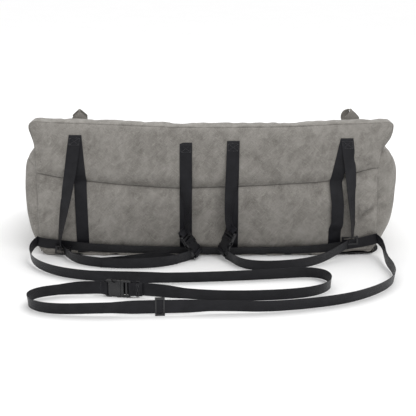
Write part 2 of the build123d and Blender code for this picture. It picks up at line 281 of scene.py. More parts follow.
# ---- Node materials ---------------------------------------------------------------------
class Nodes:
    """Short way to write a material's nodes."""

    def __init__(self, name):
        self.material = bpy.data.materials.new(name)
        self.material.use_nodes = True
        self.tree = self.material.node_tree
        self.shader = self.tree.nodes["Principled BSDF"]
        self.coords = self.tree.nodes.new("ShaderNodeTexCoord")

    def link(self, source, target):
        self.tree.links.new(source, target)

    def value(self, name, number):
        self.shader.inputs[name].default_value = number

    def mapped(self, source="Object", scale=(1, 1, 1), turn=(0, 0, 0)):
        node = self.tree.nodes.new("ShaderNodeMapping")
        node.inputs["Scale"].default_value = scale
        node.inputs["Rotation"].default_value = [math.radians(a) for a in turn]
        self.link(self.coords.outputs[source], node.inputs["Vector"])
        return node.outputs["Vector"]

    def stretched(self, size, turn):
        """Coordinates in which a feature has this size in metres, turned whole."""
        node = self.tree.nodes.new("ShaderNodeMapping")
        node.vector_type = "TEXTURE"
        node.inputs["Scale"].default_value = size
        node.inputs["Rotation"].default_value = [math.radians(a) for a in turn]
        self.link(self.coords.outputs["Object"], node.inputs["Vector"])
        return node.outputs["Vector"]

    def noise(self, vector, scale, detail=3.0, roughness=0.55, distortion=0.0):
        node = self.tree.nodes.new("ShaderNodeTexNoise")
        node.inputs["Scale"].default_value = scale
        node.inputs["Detail"].default_value = detail
        node.inputs["Roughness"].default_value = roughness
        node.inputs["Distortion"].default_value = distortion
        self.link(vector, node.inputs["Vector"])
        return node.outputs["Fac"]

    def ramp(self, factor, stops):
        node = self.tree.nodes.new("ShaderNodeValToRGB")
        elements = node.color_ramp.elements
        while len(elements) < len(stops):
            elements.new(0.5)
        for element, (position, value) in zip(elements, stops):
            element.position = position
            element.color = (*value, 1) if isinstance(value, tuple) else (value, value, value, 1)
        self.link(factor, node.inputs["Fac"])
        return node.outputs["Color"]

    def math(self, kind, a, b):
        node = self.tree.nodes.new("ShaderNodeMath")
        node.operation = kind
        for socket, value in zip(node.inputs, (a, b)):
            if isinstance(value, (int, float)):
                socket.default_value = value
            else:
                self.link(value, socket)
        return node.outputs["Value"]

    def mix(self, factor, a, b, kind="MIX"):
        node = self.tree.nodes.new("ShaderNodeMix")
        node.data_type = "RGBA"
        node.blend_type = kind
        for socket, value in ((node.inputs["Factor"], factor), (node.inputs[6], a), (node.inputs[7], b)):
            if isinstance(value, tuple):
                socket.default_value = (*value, 1)
            elif isinstance(value, (int, float)):
                socket.default_value = value
            else:
                self.link(value, socket)
        return node.outputs[2]

    def bump(self, height, strength, distance, below=None):
        node = self.tree.nodes.new("ShaderNodeBump")
        node.inputs["Strength"].default_value = strength
        node.inputs["Distance"].default_value = distance
        self.link(height, node.inputs["Height"])
        if below is not None:
            self.link(below, node.inputs["Normal"])
        return node.outputs["Normal"]


SUEDE_DARK = (0.138, 0.128, 0.115)
SUEDE_MID = (0.208, 0.196, 0.179)
SUEDE_LIGHT = (0.272, 0.258, 0.238)
SUEDE_STROKE = (0.430, 0.413, 0.383)


def suede_material():
    """Brushed grey-brown faux leather: soft blotches, fine crossing lighter strokes, short nap."""
    n = Nodes("faux_suede")
    flat = n.mapped()
    blotch = n.noise(flat, 15.0, 4.0, 0.55, 0.3)
    cloud = n.noise(n.stretched((0.02, 0.03, 0.034), (0, 38, 0)), 1.0, 3.0, 0.6, 0.6)
    tone = n.math("ADD", n.math("MULTIPLY", blotch, 0.5), n.math("MULTIPLY", cloud, 0.5))
    base = n.ramp(tone, ((0.34, SUEDE_DARK), (0.5, SUEDE_MID), (0.66, SUEDE_LIGHT)))
    strokes = None
    for turn, seed in (((4, 42, 0), 1.0), ((4, -49, 0), 2.0), ((52, 8, 0), 3.0), ((86, 0, 40), 4.0)):
        along = n.noise(n.stretched((0.0022, 0.0022, 0.030), turn), 1.0, 2.0, 0.55, 0.25)
        thin = n.ramp(along, ((0.50, 0.0), (0.70, 1.0)))
        patch = n.ramp(n.noise(n.mapped(turn=(seed * 50, 0, 0)), 30.0 + 4 * seed, 2.0), ((0.30, 0.15), (0.60, 1.0)))
        layer = n.math("MULTIPLY", thin, patch)
        strokes = layer if strokes is None else n.math("MAXIMUM", strokes, layer)
    scratched = n.mix(n.math("MULTIPLY", strokes, 0.5), base, SUEDE_STROKE)
    grain = n.noise(flat, 900.0, 2.0, 0.7)
    n.link(n.mix(0.35, scratched, n.ramp(grain, ((0.25, 0.55), (0.75, 1.0))), "MULTIPLY"), n.shader.inputs["Base Color"])
    n.link(n.ramp(tone, ((0.3, 0.86), (0.7, 0.7))), n.shader.inputs["Roughness"])
    nap = n.bump(grain, 0.25, 0.0006)
    creased = n.bump(n.noise(flat, 130.0, 4.0, 0.6), 0.22, 0.0016, nap)
    n.link(n.bump(strokes, 0.2, 0.0004, creased), n.shader.inputs["Normal"])
    n.value("Sheen Weight", 0.12)
    n.value("Sheen Roughness", 0.45)
    n.value("Specular IOR Level", 0.2)
    return n.material


def webbing_material():
    """Black woven polyester webbing: fine chevron ribs and a plain selvage, from its own UVs in metres."""
    n = Nodes("black_webbing")
    split = n.tree.nodes.new("ShaderNodeSeparateXYZ")
    n.link(n.coords.outputs["UV"], split.inputs["Vector"])
    across, along = split.outputs["X"], split.outputs["Y"]
    zigzag = n.math("PINGPONG", n.math("ADD", across, 1.0), 0.0046)
    rib = n.math("SINE", n.math("MULTIPLY", n.math("ADD", along, zigzag), 2 * math.pi / 0.0021), 0)
    warp = n.math("SINE", n.math("MULTIPLY", across, 2 * math.pi / 0.0011), 0)
    weave = n.math("ADD", n.math("MULTIPLY", rib, 0.6), n.math("MULTIPLY", warp, 0.4))
    fuzz = n.noise(n.mapped(), 260.0, 3.0, 0.65)
    # Larger lighter patches: a painted satin highlight on the black webbing.
    painted_highlight = n.ramp(n.noise(n.mapped(), 30.0, 3.0), ((0.3, 0.0), (0.7, 1.0)))
    dark = n.mix(fuzz, (0.0025, 0.0025, 0.0034), (0.0065, 0.0065, 0.0082))
    ribbed = n.mix(n.ramp(n.math("MULTIPLY_ADD", weave, 0.5), ((0.0, 0.0), (1.0, 1.0))), dark, (0.0100, 0.0100, 0.0125))
    n.link(n.mix(n.math("MULTIPLY", painted_highlight, 0.45), ribbed, (0.0200, 0.0200, 0.0240)), n.shader.inputs["Base Color"])
    n.link(n.ramp(fuzz, ((0.2, 0.34), (0.8, 0.5))), n.shader.inputs["Roughness"])
    n.link(n.bump(weave, 0.35, 0.00035, n.bump(fuzz, 0.15, 0.0004)), n.shader.inputs["Normal"])
    n.value("Sheen Weight", 0.02)
    n.value("Sheen Roughness", 0.4)
    n.value("Specular IOR Level", 0.19)
    return n.material


def tape_material():
    """Black woven tape of the zip and the keeper, its ribs laid out by place."""
    n = Nodes("woven_tape")
    rib = n.noise(n.stretched((0.0018, 0.0018, 0.0005), (0, 0, 0)), 1.0, 2.0)
    fuzz = n.noise(n.mapped(), 260.0, 3.0, 0.65)
    n.link(n.mix(rib, (0.004, 0.004, 0.005), (0.016, 0.016, 0.020)), n.shader.inputs["Base Color"])
    n.link(n.ramp(fuzz, ((0.2, 0.36), (0.8, 0.55))), n.shader.inputs["Roughness"])
    n.link(n.bump(rib, 0.4, 0.0004), n.shader.inputs["Normal"])
    n.value("Specular IOR Level", 0.22)
    return n.material


def plastic_material():
    """Black acetal with a fine moulded texture, brighter where handling has polished it."""
    n = Nodes("black_acetal")
    flat = n.mapped()
    grain = n.noise(flat, 1500.0, 2.0)
    smear = n.noise(flat, 60.0, 3.0, 0.6)
    n.link(n.mix(smear, (0.006, 0.006, 0.007), (0.012, 0.012, 0.014)), n.shader.inputs["Base Color"])
    n.link(n.ramp(smear, ((0.3, 0.24), (0.7, 0.42))), n.shader.inputs["Roughness"])
    n.link(n.bump(grain, 0.12, 0.0002), n.shader.inputs["Normal"])
    n.value("Specular IOR Level", 0.5)
    n.value("Coat Weight", 0.1)
    n.value("Coat Roughness", 0.22)
    return n.material


def backing_material():
    """Charcoal non-woven felt of the underside."""
    n = Nodes("non_slip_felt")
    flat = n.mapped()
    fibre = n.noise(n.mapped(scale=(1, 3, 1), turn=(0, 0, 30)), 420.0, 4.0, 0.7, 0.6)
    cloud = n.noise(flat, 25.0, 3.0)
    dark = n.mix(fibre, (0.012, 0.012, 0.013), (0.030, 0.030, 0.031))
    n.link(n.mix(n.math("MULTIPLY", cloud, 0.3), dark, (0.045, 0.044, 0.043)), n.shader.inputs["Base Color"])
    n.link(n.bump(fibre, 0.5, 0.0006), n.shader.inputs["Normal"])
    n.value("Roughness", 0.92)
    n.value("Specular IOR Level", 0.15)
    return n.material


def rubber_material():
    """Grey rubber of the non-slip dots."""
    n = Nodes("rubber_dots")
    speck = n.noise(n.mapped(), 700.0, 2.0)
    n.link(n.mix(speck, (0.20, 0.20, 0.20), (0.34, 0.34, 0.335)), n.shader.inputs["Base Color"])
    n.link(n.bump(speck, 0.2, 0.0002), n.shader.inputs["Normal"])
    n.value("Roughness", 0.55)
    return n.material


def foam_material():
    """Cream polyurethane foam with open cells."""
    n = Nodes("cut_foam")
    flat = n.mapped()
    cells = n.tree.nodes.new("ShaderNodeTexVoronoi")
    cells.inputs["Scale"].default_value = 650.0
    n.link(flat, cells.inputs["Vector"])
    tone = n.noise(flat, 30.0, 3.0)
    body = n.mix(tone, (0.62, 0.55, 0.40), (0.74, 0.68, 0.54))
    n.link(n.mix(n.ramp(cells.outputs["Distance"], ((0.1, 0.6), (0.5, 0.0))), body, (0.45, 0.38, 0.26)),
           n.shader.inputs["Base Color"])
    n.link(n.bump(cells.outputs["Distance"], 0.5, 0.0006), n.shader.inputs["Normal"])
    n.value("Roughness", 0.95)
    return n.material


def fill_material():
    """White polyester wadding."""
    n = Nodes("fibre_wadding")
    strands = n.noise(n.mapped(scale=(1, 4, 2), turn=(20, 40, 0)), 180.0, 6.0, 0.75, 1.5)
    n.link(n.mix(strands, (0.62, 0.62, 0.60), (0.85, 0.85, 0.83)), n.shader.inputs["Base Color"])
    n.link(n.bump(strands, 0.7, 0.0015), n.shader.inputs["Normal"])
    n.value("Roughness", 0.95)
    n.value("Sheen Weight", 0.3)
    return n.material


def thread_material(name, dark, light):
    """Twisted sewing thread."""
    n = Nodes(name)
    twist = n.noise(n.mapped(scale=(1, 1, 1), turn=(0, 30, 0)), 2200.0, 2.0)
    n.link(n.mix(twist, dark, light), n.shader.inputs["Base Color"])
    n.link(n.bump(twist, 0.3, 0.0002), n.shader.inputs["Normal"])
    n.value("Roughness", 0.6)
    n.value("Sheen Weight", 0.3)
    return n.material


def zip_metal_material():
    """Dark plated slider metal with fine wear."""
    n = Nodes("zip_metal")
    scuff = n.noise(n.mapped(scale=(1, 1, 6)), 240.0, 4.0, 0.7)
    n.link(n.mix(scuff, (0.16, 0.155, 0.15), (0.30, 0.295, 0.285)), n.shader.inputs["Base Color"])
    n.link(n.ramp(scuff, ((0.3, 0.25), (0.7, 0.45))), n.shader.inputs["Roughness"])
    n.value("Metallic", 1.0)
    return n.material


SUEDE = suede_material()
WEBBING = webbing_material()
TAPE = tape_material()
PLASTIC = plastic_material()
FELT = backing_material()
RUBBER = rubber_material()
FOAM = foam_material()
WADDING = fill_material()
BLACK_THREAD = thread_material("black_thread", (0.022, 0.022, 0.026), (0.055, 0.055, 0.062))
# Dark taupe seam thread: real stitching, and painted shade in the seam folds of the back panel.
SEAM_SHADE_THREAD = thread_material("taupe_thread_and_seam_shade", (0.045, 0.041, 0.036), (0.085, 0.078, 0.070))
ZIP_METAL = zip_metal_material()


# ---- Camera, floor and light ------------------------------------------------------------
def build_camera():
    camera = bpy.data.cameras.new("camera")
    camera.lens = 87.19
    camera.sensor_width = 36.0
    obj = bpy.data.objects.new("camera", camera)
    obj.location = (-0.008, -3.2813, 0.9912)
    obj.rotation_euler = (math.radians(90 - 15.58), 0, 0)
    scene.collection.objects.link(obj)
    scene.camera = obj


def area_light(name, place, aim, size, power):
    light = bpy.data.lights.new(name, "AREA")
    light.shape = "RECTANGLE"
    light.size, light.size_y = size
    light.energy = power
    obj = bpy.data.objects.new(name, light)
    obj.location = place
    obj.rotation_euler = (Vector(aim) - Vector(place)).to_track_quat("-Z", "Y").to_euler()
    scene.collection.objects.link(obj)


def soft_sun(name, aim, angle, strength):
    """Even light over the whole floor, with soft shadows."""
    light = bpy.data.lights.new(name, "SUN")
    light.angle = math.radians(angle)
    light.energy = strength
    obj = bpy.data.objects.new(name, light)
    obj.rotation_euler = Vector(aim).to_track_quat("-Z", "Y").to_euler()
    scene.collection.objects.link(obj)


def build_stage():
    n = Nodes("studio_floor")
    n.link(n.mix(n.noise(n.mapped(), 3.0), (0.90, 0.90, 0.90), (0.93, 0.93, 0.93)), n.shader.inputs["Base Color"])
    n.value("Roughness", 0.9)
    n.value("Specular IOR Level", 0.1)
    size = 14.0
    corners = [(-size, -size, 0), (size, -size, 0), (size, size, 0), (-size, size, 0)]
    mesh = bpy.data.meshes.new("floor")
    mesh.from_pydata(corners, [], [(0, 1, 2, 3)])
    mesh.materials.append(n.material)
    floor = bpy.data.objects.new("floor", mesh)
    scene.collection.objects.link(floor)
    world = bpy.data.worlds.new("studio")
    scene.world = world
    world.use_nodes = True
    background = world.node_tree.nodes["Background"]
    background.inputs["Color"].default_value = (1.0, 1.0, 1.0, 1)
    background.inputs["Strength"].default_value = 0.84
    soft_sun("key", (-0.42, 0.62, -1.0), 45, 1.0)
    area_light("top", (0.3, 0.9, 3.2), (0, 0, 0), (4.0, 2.5), 40)
    scene.view_settings.view_transform = "Standard"
    scene.view_settings.look = "None"


# ---- Padded shapes ----------------------------------------------------------------------
def back_shape(points):
    """Nominal box of the back panel to its drooping outline, pinched at the quilting seam."""
    p = round_box(points, BACK_LO, BACK_HI, 10.0)
    p = round_plan(p, (0, 2), BACK_LO, BACK_HI, (25.0, 13.0))
    x, y, z = p.T
    seam, top, low = follow(SEAM_Z, x), follow(TOP_Z, x), follow(BOTTOM_Z, x)
    lower = low + (seam - low) * (z - BACK_LO[2]) / (QUILT - BACK_LO[2])
    upper = seam + (top - seam) * (z - QUILT) / (BACK_HI[2] - QUILT)
    height = np.where(z < QUILT, lower, upper)
    edge = np.where(x < 0, follow(LEFT_X, height), follow(RIGHT_X, height))
    wide = x * edge / BACK_HI[0]
    rear = np.clip((BACK_HI[1] - y) / (BACK_HI[1] - BACK_LO[1]), 0, 1)
    above = height > seam
    span = np.where(above, (height - seam) / (top - seam), (seam - height) / (seam - low))
    crown = np.clip(1 - (2 * span - 1) ** 4, 0, 1) * np.clip((edge - np.abs(wide)) / 60, 0, 1)
    depth = y - rear * (4.0 * crown * np.where(above, 1.15, 0.8)) + (1 - rear) * -3.0 * crown
    pinch = bell(height - seam, 9.0) * np.clip((edge - np.abs(wide)) / 12, 0.3, 1)
    depth = depth + (2 * rear - 1) * 7.0 * pinch
    return np.column_stack([wide, depth, height])


def side_shape(side):
    draw = SIDE_DRAW_LEFT if side < 0 else SIDE_DRAW_RIGHT
    inner_rear = 533.0 if side < 0 else 511.0
    middle = (SIDE_LO[0] + SIDE_HI[0]) / 2
    half = (SIDE_HI[0] - SIDE_LO[0]) / 2

    def shape(points):
        """Puffed tube from the back panel's edge to the front, closed at both ends."""
        x, y, z = points.T
        top = follow(SIDE_TOP, y)
        low = SIDE_LO[2]
        z_middle, z_half = (top + low) / 2, (top - low) / 2
        u = (x - middle) / half
        v = (z - (SIDE_HI[2] + low) / 2) / ((SIDE_HI[2] - low) / 2)
        scale = section_scale(u, v, 3.4)
        near, far = 40.0, 48.0
        into_rear = np.clip((SIDE_LO[1] + near - y) / near, 0, 1)
        into_front = np.clip((y - (SIDE_HI[1] - far)) / far, 0, 1)
        shrink = near * (1 - np.sqrt(1 - into_rear**2)) + far * (1 - np.sqrt(1 - into_front**2))
        width = np.maximum(half - shrink, 6) * u * scale
        height = z_middle + np.maximum(z_half - shrink * np.where(v > 0, 0.8, 0.2), 10) * v * scale
        drawn = follow(draw, height * SIDE_HI[2] / top) * np.clip(0.5 + u / 2, 0, 1)
        wide = middle + width - drawn
        fold = np.clip((-206 - y) / 6, 0, 1)
        wide = np.where(wide < inner_rear, wide + (inner_rear - wide) * fold * 0.98, wide)
        return np.column_stack([side * wide, y, height])

    return shape


def front_shape(points):
    """Low bolster across the front, round on top."""
    x, y, z = points.T
    y_middle, y_half = (FRONT_LO[1] + FRONT_HI[1]) / 2, (FRONT_HI[1] - FRONT_LO[1]) / 2
    z_middle, z_half = (FRONT_LO[2] + FRONT_HI[2]) / 2, (FRONT_HI[2] - FRONT_LO[2]) / 2
    u, v = (y - y_middle) / y_half, (z - z_middle) / z_half
    scale = section_scale(u, v, 3.0)
    sag = 5.0 * np.cos(x / FRONT_HI[0] * math.pi) - 5.0
    return np.column_stack([x, y_middle + y_half * u * scale, z_middle + z_half * v * scale + np.maximum(v, 0) * sag])


def base_shape(points):
    p = round_box(points, BASE_LO, BASE_HI, 9.0)
    crown = np.clip(1 - (p[:, 0] / BASE_HI[0]) ** 4, 0, 1)
    p[:, 2] -= np.clip(p[:, 2] / BASE_HI[2], 0, 1) * 2.5 * crown
    return p


def seat_shape(points):
    """Crowned seat cushion: round corners, sides that pull in between them."""
    p = round_box(points, SEAT_LO, SEAT_HI, 9.0)
    p = round_plan(p, (0, 1), SEAT_LO, SEAT_HI, (38.0, 38.0))
    x, y, z = p.T
    y_middle = (SEAT_LO[1] + SEAT_HI[1]) / 2
    u = x / SEAT_HI[0]
    v = (y - y_middle) / ((SEAT_HI[1] - SEAT_LO[1]) / 2)
    crown = (1 - u**4) * (1 - v**4)
    up = (z - SEAT_LO[2]) / (SEAT_HI[2] - SEAT_LO[2])
    pull = 6.0
    wide = x - np.sign(x) * pull * (1 - v**2) * np.abs(u) ** 6
    deep = y - np.sign(y - y_middle) * pull * (1 - u**2) * np.abs(v) ** 6
    height = z + up * (9.0 * crown - 12.0)
    return np.column_stack([wide, deep, height])


def edge_rows(grid, axes_at_edge=2):
    """Points on the box lattice's edges, where its panels are sewn together."""
    last = grid.max(axis=0)
    return ((grid == 0) | (grid == last)).sum(axis=1) >= axes_at_edge


def make_pad(name, axes, shape, nodes):
    points, faces, grid = lattice(*axes)
    obj = make(name, shape(points) * MM, faces, SUEDE)
    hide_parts(*nodes)
    return obj, grid


def make_core(name, axes, shape, node, material, inset=7.0):
    """Foam or wadding inside a cover: the same shape, an inset smaller."""
    points, faces, _ = lattice(*axes)
    obj = make(name, shape(points) * MM, faces, material)
    write_points(obj, read_points(obj) - read_normals(obj) * inset * MM)
    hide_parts(node)
    return obj


CORE_INSET = 18.0    # more than the cloth, its ripples and its seams together can move in


def simulate(pads):
    """Fill the pads as cloth under pressure, with their seams held, and keep the result in their meshes."""
    for obj, pins, _ in pads:
        group = obj.vertex_groups.new(name="seams")
        group.add([int(i) for i in np.flatnonzero(pins)], 1.0, "REPLACE")
        cloth = obj.modifiers.new("Cloth", "CLOTH")
        settings = cloth.settings
        settings.quality = 6
        settings.mass = 0.25
        settings.tension_stiffness = 20
        settings.compression_stiffness = 18
        settings.shear_stiffness = 8
        settings.bending_stiffness = 0.4
        settings.use_pressure = True
        settings.uniform_pressure_force = 4.0
        settings.shrink_min = -0.035
        settings.vertex_group_mass = "seams"
        settings.effector_weights.gravity = 0
        cloth.collision_settings.use_collision = False
        cloth.point_cache.frame_start = 1
        cloth.point_cache.frame_end = 20
    for number in range(1, 21):
        scene.frame_set(number)
    graph = bpy.context.evaluated_depsgraph_get()
    for obj, _, cap in pads:
        blown = bpy.data.meshes.new_from_object(obj.evaluated_get(graph))
        after = np.empty(len(blown.vertices) * 3)
        blown.vertices.foreach_get("co", after)
        before = read_points(obj)
        move = after.reshape(-1, 3) - before
        length = np.linalg.norm(move, axis=1, keepdims=True)
        limit = cap * MM
        move *= np.where(length > 1e-9, limit * np.tanh(length / limit) / np.maximum(length, 1e-9), 0)
        obj.modifiers.clear()
        obj.vertex_groups.clear()
        write_points(obj, before + move)
        bpy.data.meshes.remove(blown)
    scene.frame_set(1)


def on_seam(obj, rows):
    """A seam's points after subdivision: the old ones, and each new one between two of them."""
    marked = np.zeros(len(obj.data.vertices), bool)
    marked[:len(rows)] = rows
    ends = np.empty(len(obj.data.edges) * 2, int)
    obj.data.edges.foreach_get("vertices", ends)
    ends = ends.reshape(-1, 2)
    hits = np.zeros(len(marked), int)
    for near, far in ((0, 1), (1, 0)):
        np.add.at(hits, ends[marked[ends[:, near]], far], 1)
    return marked | (hits >= 2)


def gather(obj, rows, reach, share):
    """Draw the cloth beside a seam towards it, so that the groove is narrow."""
    points = read_points(obj)
    tree = KDTree(int(rows.sum()))
    for number, index in enumerate(np.flatnonzero(rows)):
        tree.insert(points[index], number)
    tree.balance()
    for index in np.flatnonzero(~rows):
        near, _, distance = tree.find(points[index])
        if distance < reach * MM:
            pull = share * (1 - distance / (reach * MM))
            points[index] += (np.array(near) - points[index]) * pull
    write_points(obj, points)


def sew(obj, rows, depth):
    """Draw the seam rows in, so that the cloth on each side stands proud of the stitching."""
    points = read_points(obj)
    points[rows] -= read_normals(obj)[rows] * depth * MM
    write_points(obj, points)


def crease(points, start, end, width, depth):
    """Dent a panel's rear face along a line between two (x, z) points, with a fold of cloth beside it."""
    a, b = np.array(start, float), np.array(end, float)
    along = (b - a) / np.linalg.norm(b - a)
    flat = points[:, (0, 2)] / MM - a
    run = flat @ along / np.linalg.norm(b - a)
    off = flat @ np.array([-along[1], along[0]])
    fade = np.clip(run / 0.25, 0, 1) * np.clip((1 - run) / 0.25, 0, 1)
    rear = points[:, 1] < -0.25
    profile = bell(off, width) - 0.7 * bell(off - 1.8 * width, 1.2 * width)
    points[:, 1] += np.where(rear, depth * MM * fade * profile, 0)


def ripple_back(obj):
    """Slow waves over the back panel, puckers along its seams, and the creases near its right side."""
    points = read_points(obj)
    where = points / MM
    x, _, z = where.T
    rear = where[:, 1] < -245
    seam, top = follow(SEAM_Z, x), follow(TOP_Z, x)
    slow = waves(where * (1, 0.3, 1), 130.0, 1) * 3.2 + waves(where * (1, 0.3, 1), 52.0, 2) * 0.9
    near_seam = bell(z - seam, 26.0) + 0.6 * bell(z - top, 22.0) + 0.7 * bell(np.abs(x) - 540, 30.0)
    pucker = waves(where * (1, 0.2, 0.35), 17.0, 3) * 2.0 * np.clip(near_seam, 0, 1)
    points[:, 1] += np.where(rear, (slow + pucker) * MM, 0)
    for start, end, width, depth in (
        ((438, 104), (516, 170), 6, 9.0), ((372, 66), (452, 112), 9, 6.5), ((430, 75), (470, 130), 8, 4.0),
        ((446, 140), (508, 148), 6, 4.5),
        ((462, 300), (512, 322), 5, 2.4), ((497, 286), (500, 330), 5, 1.8), ((-520, 120), (-476, 148), 9, 2.2),
        ((396, 196), (430, 122), 12, 4.5), ((-30, 205), (-22, 178), 6, 1.0), ((250, 222), (262, 196), 6, 1.2),
    ):
        crease(points, start, end, width, depth)
    dent = bell(x + 118, 16.0) * bell(z - top, 14.0)
    points[:, 2] -= 2.2 * MM * dent
    write_points(obj, points)


def tuck_hem(obj):
    """Valley behind the strap along the panel's foot, and the hem that swells out below it."""
    points = read_points(obj)
    x, y, z = (points / MM).T
    strap = follow(FOOT_Z, x)
    rear = np.clip((-245 - y) / 15, 0, 1)
    valley = 8.0 * bell(z - strap + 3, 13.0)
    clear = np.clip((np.abs(np.abs(x) - 447) - 28) / 25, 0.15, 1) * np.clip((520 - np.abs(x)) / 30, 0, 1)
    hem = bell(z - follow(BOTTOM_Z, x) + 1.5, 5.5) * rear
    points[:, 1] += (valley * rear - 16.0 * hem * clear) * MM
    points[:, 2] -= 3.0 * hem * MM * np.clip((400 - x) / 60, 0, 1)
    for (start_x, _, start_z), tilt, _, _ in (GLIDE_PLACES["left"], GLIDE_PLACES["right"]):
        track = start_x - (z - start_z) / math.tan(math.radians(tilt))
        on_track = (np.abs(x - track) < 32) & (z < start_z + ADJUSTER_TRAVEL + 15) & (y < -245)
        points[:, 1] = np.where(on_track, np.maximum(points[:, 1], -ADJUSTER_BACK * MM), points[:, 1])
    write_points(obj, points)


def ripple(obj, size, height, seed):
    """Slow waves over a whole pad, along its own surface normal."""
    points = read_points(obj)
    amount = waves(points / MM, size, seed) * height + waves(points / MM, size * 0.4, seed + 9) * height * 0.3
    write_points(obj, points + read_normals(obj) * amount[:, None] * MM)


def keep_inside(obj, low, high):
    """Hold a pad's points in a box given in millimetres."""
    write_points(obj, np.clip(read_points(obj), np.array(low) * MM, np.array(high) * MM))


def seam_thread_and_shade(name, obj, chosen, order, body="root", width=1.7):
    """Dark sewing thread along a row of a pad's first points, in the order of one of their grid axes: stitching that
    also stands in as painted shade in the seam's fold.
    """
    row = np.flatnonzero(chosen)
    row = row[np.argsort(order[row])]
    line = read_points(obj)[row] + read_normals(obj)[row] * 0.0006
    thread = ribbon(name, line, np.tile((0.12, 0.35, 0.93), (len(line), 1)), body, width, 1.1, SEAM_SHADE_THREAD)
    return thread


def build_pads():
    """All padded covers and what fills them."""
    rows_low = spaced(BACK_LO[2], QUILT, 9.5)
    rows_high = spaced(QUILT, BACK_HI[2], 9.5)
    back_axes = (spaced(-540, 540, 9.5), spaced(BACK_LO[1], BACK_HI[1], 9.5),
                 np.concatenate([rows_low, rows_high[1:]]))
    back, back_grid = make_pad("back_panel_cover", back_axes, back_shape, ["back_cover"])
    quilt_row = len(rows_low) - 1
    back_pins = edge_rows(back_grid) | (back_grid[:, 2] == quilt_row)
    pads = [(back, back_pins, 5.0)]
    seams = {back: (back_pins, 1.0, 5.2)}
    side_ys = np.concatenate([[-268, -264, -257, -248, -238, -227, -214, -205.5], spaced(-196, 238, 10.5), spaced(243, 283, 8)])
    sides = []
    for name, side in (("left", -1), ("right", 1)):
        axes = (spaced(SIDE_LO[0], SIDE_HI[0], 9.5), side_ys, spaced(SIDE_LO[2], SIDE_HI[2], 10.0))
        shape = side_shape(side)
        cover, grid = make_pad(f"side_bolster_{name}", axes, shape, [f"side_bolster_cover_{name}"])
        if side < 0:
            cover.data.flip_normals()
        held = (grid[:, 1] < 8) | ((grid[:, 0] == grid[:, 0].max()) & (grid[:, 2] == grid[:, 2].max()))
        pads.append((cover, held | (grid[:, 2] == 0), 9.0))
        outer_top = (grid[:, 0] == grid[:, 0].max()) & (grid[:, 2] == grid[:, 2].max())
        front_ring = (grid[:, 1] == grid[:, 1].max() - 5) & (grid[:, 2] > 0)
        seams[cover] = (outer_top | front_ring, 2.0, 2.0)
        sides.append(cover)
        core_axes = (axes[0], side_ys[(side_ys > -200) & (side_ys < 262)], axes[2])
        core = make_core(f"side_wadding_{name}", core_axes, shape, f"side_bolster_fill_{name}", WADDING,
                         side * CORE_INSET)
        if side < 0:
            core.data.flip_normals()
    front_axes = (spaced(FRONT_LO[0], FRONT_HI[0], 10.0), spaced(FRONT_LO[1], FRONT_HI[1], 10.0),
                  spaced(FRONT_LO[2], FRONT_HI[2], 10.0))
    front, front_grid = make_pad("front_bolster", front_axes, front_shape, ["front_bolster_cover"])
    pads.append((front, edge_rows(front_grid), 8.0))
    seams[front] = (edge_rows(front_grid), 1.8, 1.6)
    make_core("front_wadding", front_axes, front_shape, "front_bolster_fill", WADDING, 15.0)
    base_axes = (spaced(BASE_LO[0], BASE_HI[0], 16.0), spaced(BASE_LO[1], BASE_HI[1], 16.0),
                 spaced(BASE_LO[2], BASE_HI[2], 10.0))
    base, base_grid = make_pad("base_panel", base_axes, base_shape, ["base_cover"])
    seams[base] = (edge_rows(base_grid), 1.5, 1.0)
    make_core("base_foam_slab", base_axes, base_shape, "base_foam", FOAM, 8.0)
    seat_axes = (spaced(SEAT_LO[0], SEAT_HI[0], 10.0), spaced(SEAT_LO[1], SEAT_HI[1], 10.0),
                 spaced(SEAT_LO[2], SEAT_HI[2], 9.0))
    seat, seat_grid = make_pad("seat_cushion", seat_axes, seat_shape, ["seat_cushion_cover"])
    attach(seat, "seat_cushion")
    pads.append((seat, edge_rows(seat_grid), 9.0))
    seams[seat] = (edge_rows(seat_grid), 2.0, 1.8)
    seat_core = make_core("seat_foam_slab", seat_axes, seat_shape, "seat_cushion_foam", FOAM, 14.0)
    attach(seat_core, "seat_cushion")
    for node, zs in (("back_foam_lower", rows_low[:-1]), ("back_foam_upper", rows_high[1:])):
        make_core(node + "_slab", (back_axes[0], back_axes[1], zs), back_shape, node, FOAM, CORE_INSET)
    simulate(pads)
    for obj, (rows, depth, crisp) in seams.items():
        sew(obj, rows, depth)
        subdivide(obj)
        fine = on_seam(obj, rows)
        gather(obj, fine, 11.0, 0.75)
        sew(obj, fine, crisp)
    ripple_back(back)
    tuck_hem(back)
    for seed, obj in enumerate([*sides, front, base, seat]):
        ripple(obj, 95.0, 2.6, 20 + 3 * seed)
    keep_inside(back, (-558, -298, 1.4), (558, -208, 432))
    for obj in (*sides, front, base):
        keep_inside(obj, (-586, -272, 3.8), (586, 288, 345))
    keep_inside(seat, (-446, -205, 62.3), (446, 190, 142))
    rear_face = back_grid[:, 1] == 0
    inside = (back_grid[:, 0] > 1) & (back_grid[:, 0] < back_grid[:, 0].max() - 1)
    top_row = rear_face & inside & (back_grid[:, 2] == back_grid[:, 2].max())
    # Dark thread lines in the top boxing seam and the quilting seam: stitching, and painted shade in the seam folds;
    # the top one is wider.
    seam_thread_and_shade("seam_thread_top", back, top_row, back_grid[:, 0], width=2.8)
    seam_thread_and_shade("seam_thread_quilt", back, rear_face & inside & (back_grid[:, 2] == quilt_row), back_grid[:, 0])
    return back, seat


# ---- Webbing ----------------------------------------------------------------------------
SELVAGE = (
    (-0.5, 0), (-0.492, 0.36), (-0.46, 0.5), (-0.42, 0.4), (-0.2, 0.42), (0, 0.43), (0.2, 0.42), (0.42, 0.4),
    (0.46, 0.5), (0.492, 0.36), (0.5, 0), (0.492, -0.36), (0.46, -0.5), (0.42, -0.4), (0.2, -0.42), (0, -0.43),
    (-0.2, -0.42), (-0.42, -0.4), (-0.46, -0.5), (-0.492, -0.36),
)


